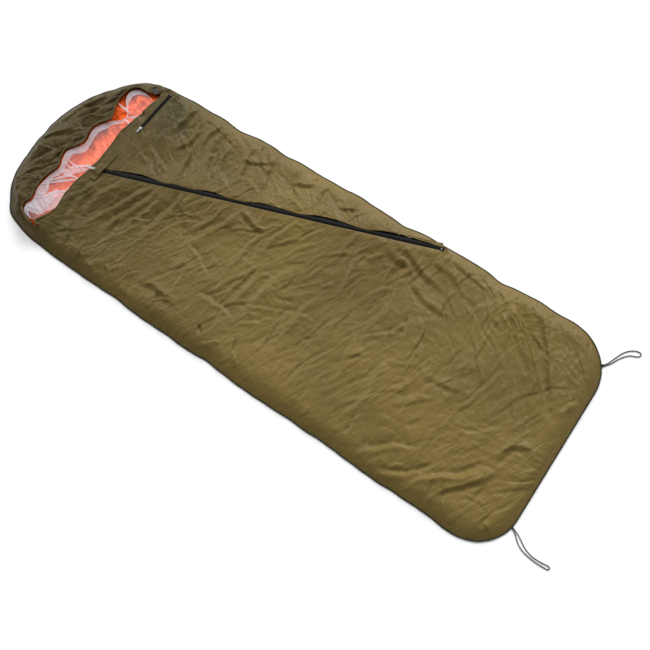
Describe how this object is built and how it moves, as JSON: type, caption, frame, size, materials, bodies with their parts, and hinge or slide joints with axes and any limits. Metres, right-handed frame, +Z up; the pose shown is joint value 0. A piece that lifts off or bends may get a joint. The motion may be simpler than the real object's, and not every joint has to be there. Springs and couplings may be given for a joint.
{
  "type": "bivy sack",
  "caption": "Hooded waterproof sleeping bag cover laid flat, with a long diagonal zip, netted face opening, chest pocket, drawcord and foot tie-out loops.",
  "frame": {"origin": "on the ground under the middle of the sack laid flat", "axes": "+Y from the foot to the hood's crown, +X to the side where the main zip ends, +Z up"},
  "size_m": [0.9318, 2.4715, 0.0592],
  "materials": {
    "shell_fabric": "satin coated nylon, olive brown",
    "pocket_fabric": "thin coated nylon, dark olive",
    "lining": "satin taffeta, signal orange",
    "net": "fine white mesh",
    "zip_tape": "black woven tape",
    "zip_coil": "black moulded coil",
    "zip_metal": "nickel-plated die casting",
    "webbing": "black woven polyester",
    "hook_and_loop": "hook and loop tape, black",
    "lock_plastic": "black acetal",
    "spring_steel": "bright wire",
    "drawcord": "black braided cord",
    "loop_cord": "dark grey braided shock cord"
  },
  "bodies": {
    "sack": {"body_top_panel": "shell_fabric", "bottom_panel": "shell_fabric", "closure_tab_base": "shell_fabric", "collar_hem": "shell_fabric", "drawcord_in_hem": "drawcord", "drawcord_knot": "drawcord", "drawcord_tail": "drawcord", "floor_lining": "lining", "foot_loop_left": "loop_cord", "foot_loop_right": "loop_cord", "hood_hem": "shell_fabric", "hood_lining": "lining", "hood_panel": "shell_fabric", "loop_sleeve_left": "webbing", "loop_sleeve_right": "webbing", "mosquito_net": "net", "net_hem": "net", "pocket_bag": "pocket_fabric", "pocket_zip_bottom_stop": "zip_metal", "pocket_zip_coil_left": "zip_coil", "pocket_zip_coil_right": "zip_coil", "pocket_zip_tape_left": "zip_tape", "pocket_zip_tape_right": "zip_tape", "pocket_zip_top_stops": "zip_metal", "tab_loop_patch": "hook_and_loop", "top_lining": "lining", "zip_bottom_stop": "zip_metal", "zip_coil_left": "zip_coil", "zip_coil_right": "zip_coil", "zip_end_patch": "webbing", "zip_tape_left": "zip_tape", "zip_tape_right": "zip_tape", "zip_top_stops": "zip_metal"},
    "main_slider": {"zip_slider": "zip_metal", "zip_slider_pin": "zip_metal"},
    "main_pull": {"zip_pull": "zip_metal"},
    "pocket_slider": {"pocket_zip_slider": "zip_metal", "pocket_zip_slider_pin": "zip_metal"},
    "pocket_pull": {"pocket_zip_pull": "zip_metal"},
    "cord_lock": {"cordlock_barrel": "lock_plastic", "cordlock_spring": "spring_steel"},
    "lock_plunger": {"cordlock_plunger": "lock_plastic"},
    "tab": {"closure_tab": "shell_fabric", "tab_hook_patch": "hook_and_loop"}
  },
  "joints": [
    {"name": "main_slider_travel", "type": "slide", "parent": "sack", "child": "main_slider", "axis": [0.344, -0.939, 0], "range_m": [0, 1.346]},
    {"name": "main_pull_swing", "type": "hinge", "parent": "main_slider", "child": "main_pull", "pos_m": [-0.06349, 0.86915, 0.0547], "axis": [0.939, 0.344, 0], "range_deg": [0, 120]},
    {"name": "pocket_slider_travel", "type": "slide", "parent": "sack", "child": "pocket_slider", "axis": [1, 0, 0], "range_m": [0, 0.182]},
    {"name": "pocket_pull_swing", "type": "hinge", "parent": "pocket_slider", "child": "pocket_pull", "pos_m": [0.1783, 0.835, 0.054], "axis": [0, 1, 0], "range_deg": [0, 165]},
    {"name": "cord_lock_slide", "type": "slide", "parent": "sack", "child": "cord_lock", "axis": [0.788, -0.6157, 0], "range_m": [0, 0.012]},
    {"name": "plunger_press", "type": "slide", "parent": "cord_lock", "child": "lock_plunger", "axis": [-0.6157, -0.788, 0], "range_m": [0, 0.005], "stiffness_N_per_m": 900, "springref_m": -0.002, "deforming": ["cordlock_spring"]},
    {"name": "closure_tab_flip", "type": "hinge", "parent": "sack", "child": "tab", "pos_m": [0.033, 0.8455, 0.0519], "axis": [0, 1, 0], "range_deg": [0, 168]}
  ]
}
